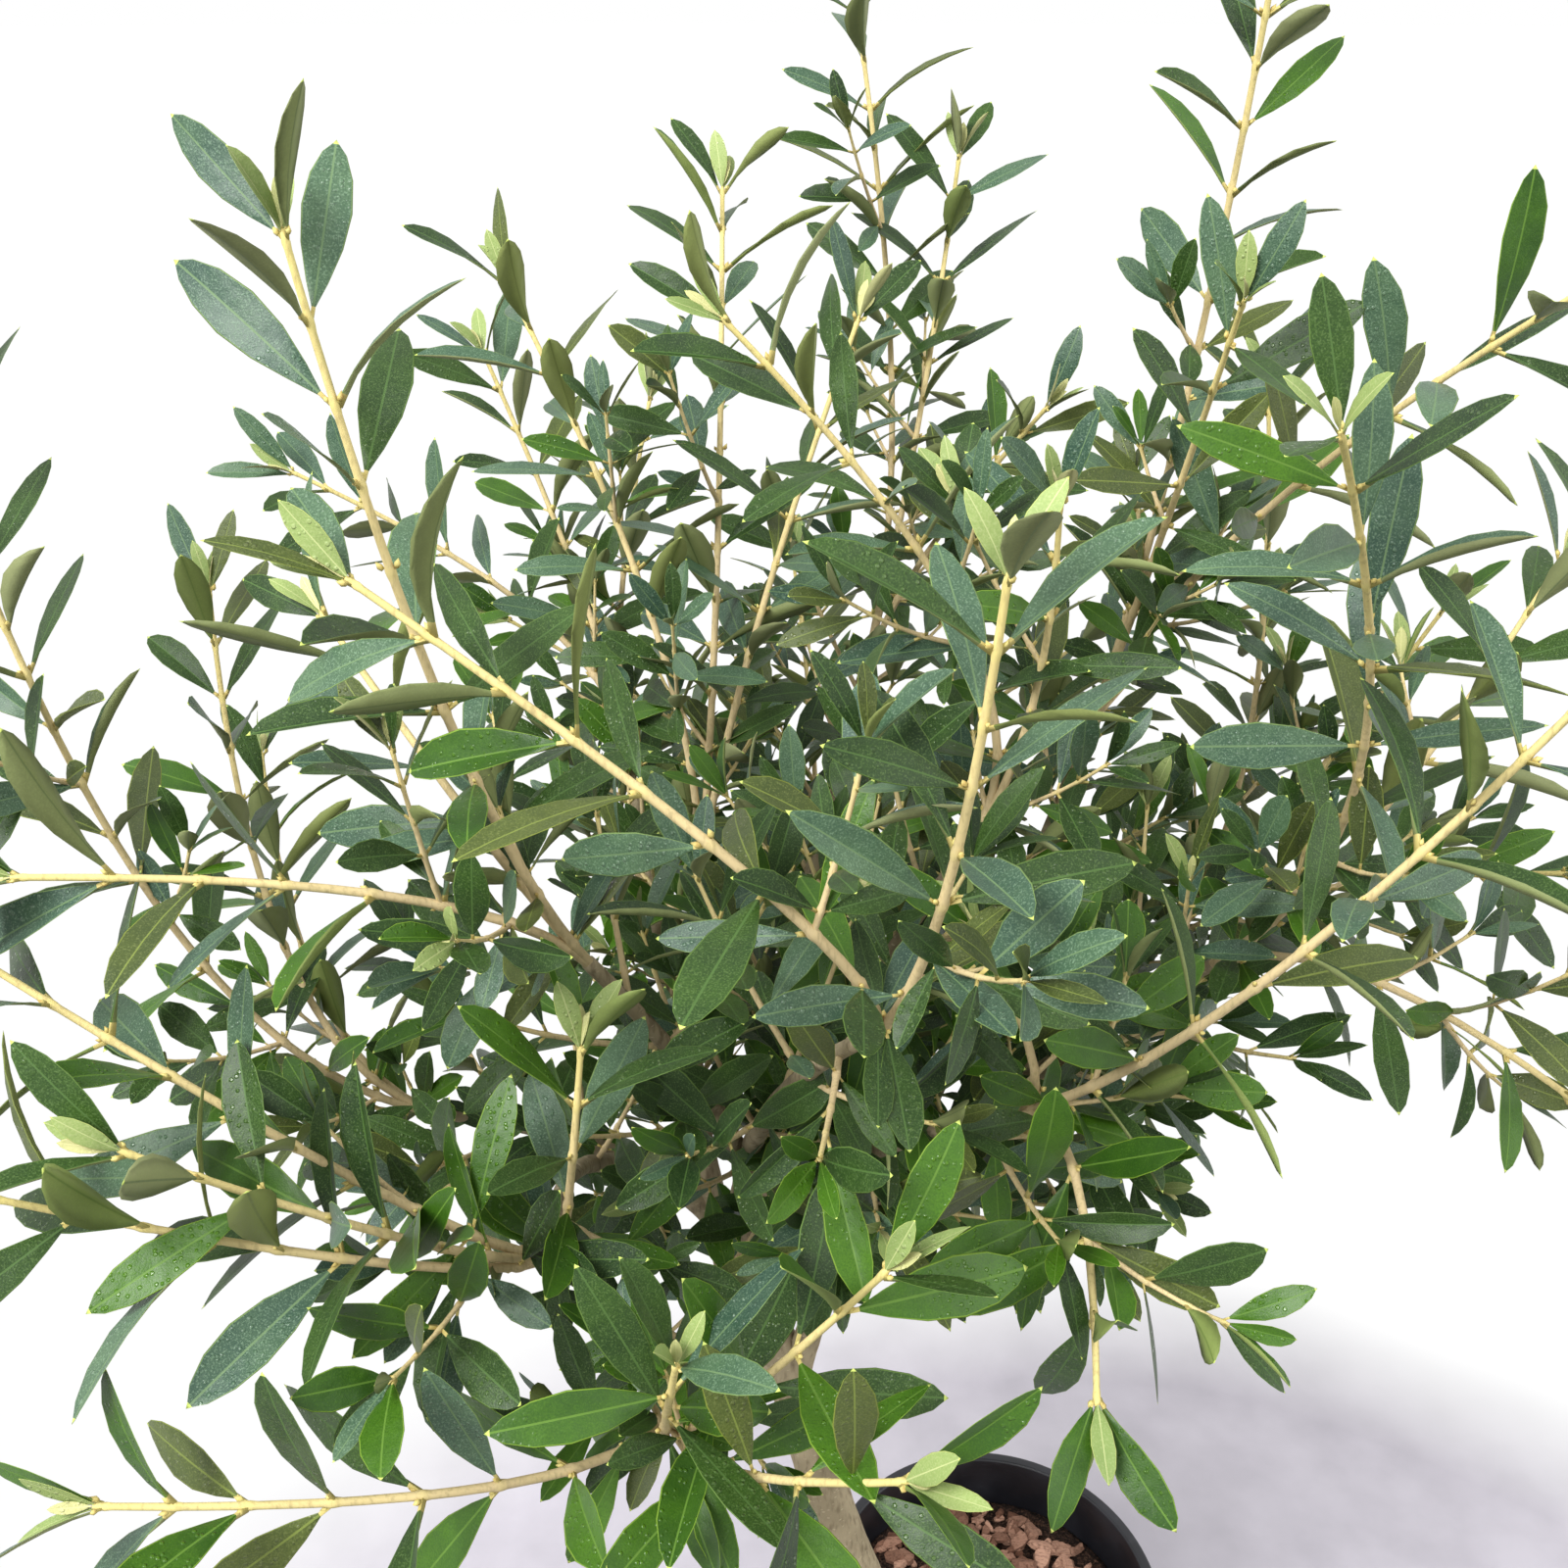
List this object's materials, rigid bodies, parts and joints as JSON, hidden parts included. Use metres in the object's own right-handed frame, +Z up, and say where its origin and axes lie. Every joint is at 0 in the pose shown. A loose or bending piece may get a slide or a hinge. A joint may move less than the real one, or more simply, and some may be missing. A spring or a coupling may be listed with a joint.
{
  "type": "potted olive tree",
  "caption": "Young olive tree in a round black nursery pot: leaning trunk, spreading boughs and upright leafy shoots.",
  "frame": {"origin": "centre of the pot's flat underside", "axes": "+Z up, +X to the picture's right, +Y away from its camera; the trunk leans towards -X"},
  "size_m": [0.8243, 0.8151, 1.348],
  "materials": {
    "pot": "satin black moulded plastic",
    "soil": "moist reddish-brown bark compost",
    "bark": "smooth beige-grey bark",
    "foliage": "leathery leaves, dark blue-green above and olive below, on straw-coloured twigs"
  },
  "bodies": {
    "root": {"pot": "pot", "soil": "soil", "trunk": "bark", "bough_centre": "bark", "bough_front": "bark", "bough_right": "bark", "bough_back": "bark", "bough_left": "bark", "bough_back_left": "bark", "bough_right_back": "bark", "bough_middle": "bark", "bough_right_front": "bark", "bough_front_left": "bark", "bough_front_low": "bark", "bough_left_low": "bark", "bough_back_low": "bark", "bough_right_low": "bark", "foliage_centre": "foliage", "foliage_front": "foliage", "foliage_right": "foliage", "foliage_back": "foliage", "foliage_left": "foliage", "foliage_back_left": "foliage", "foliage_right_back": "foliage", "foliage_middle": "foliage", "foliage_right_front": "foliage", "foliage_front_left": "foliage", "foliage_front_low": "foliage", "foliage_left_low": "foliage", "foliage_back_low": "foliage", "foliage_right_low": "foliage"}
  },
  "joints": []
}
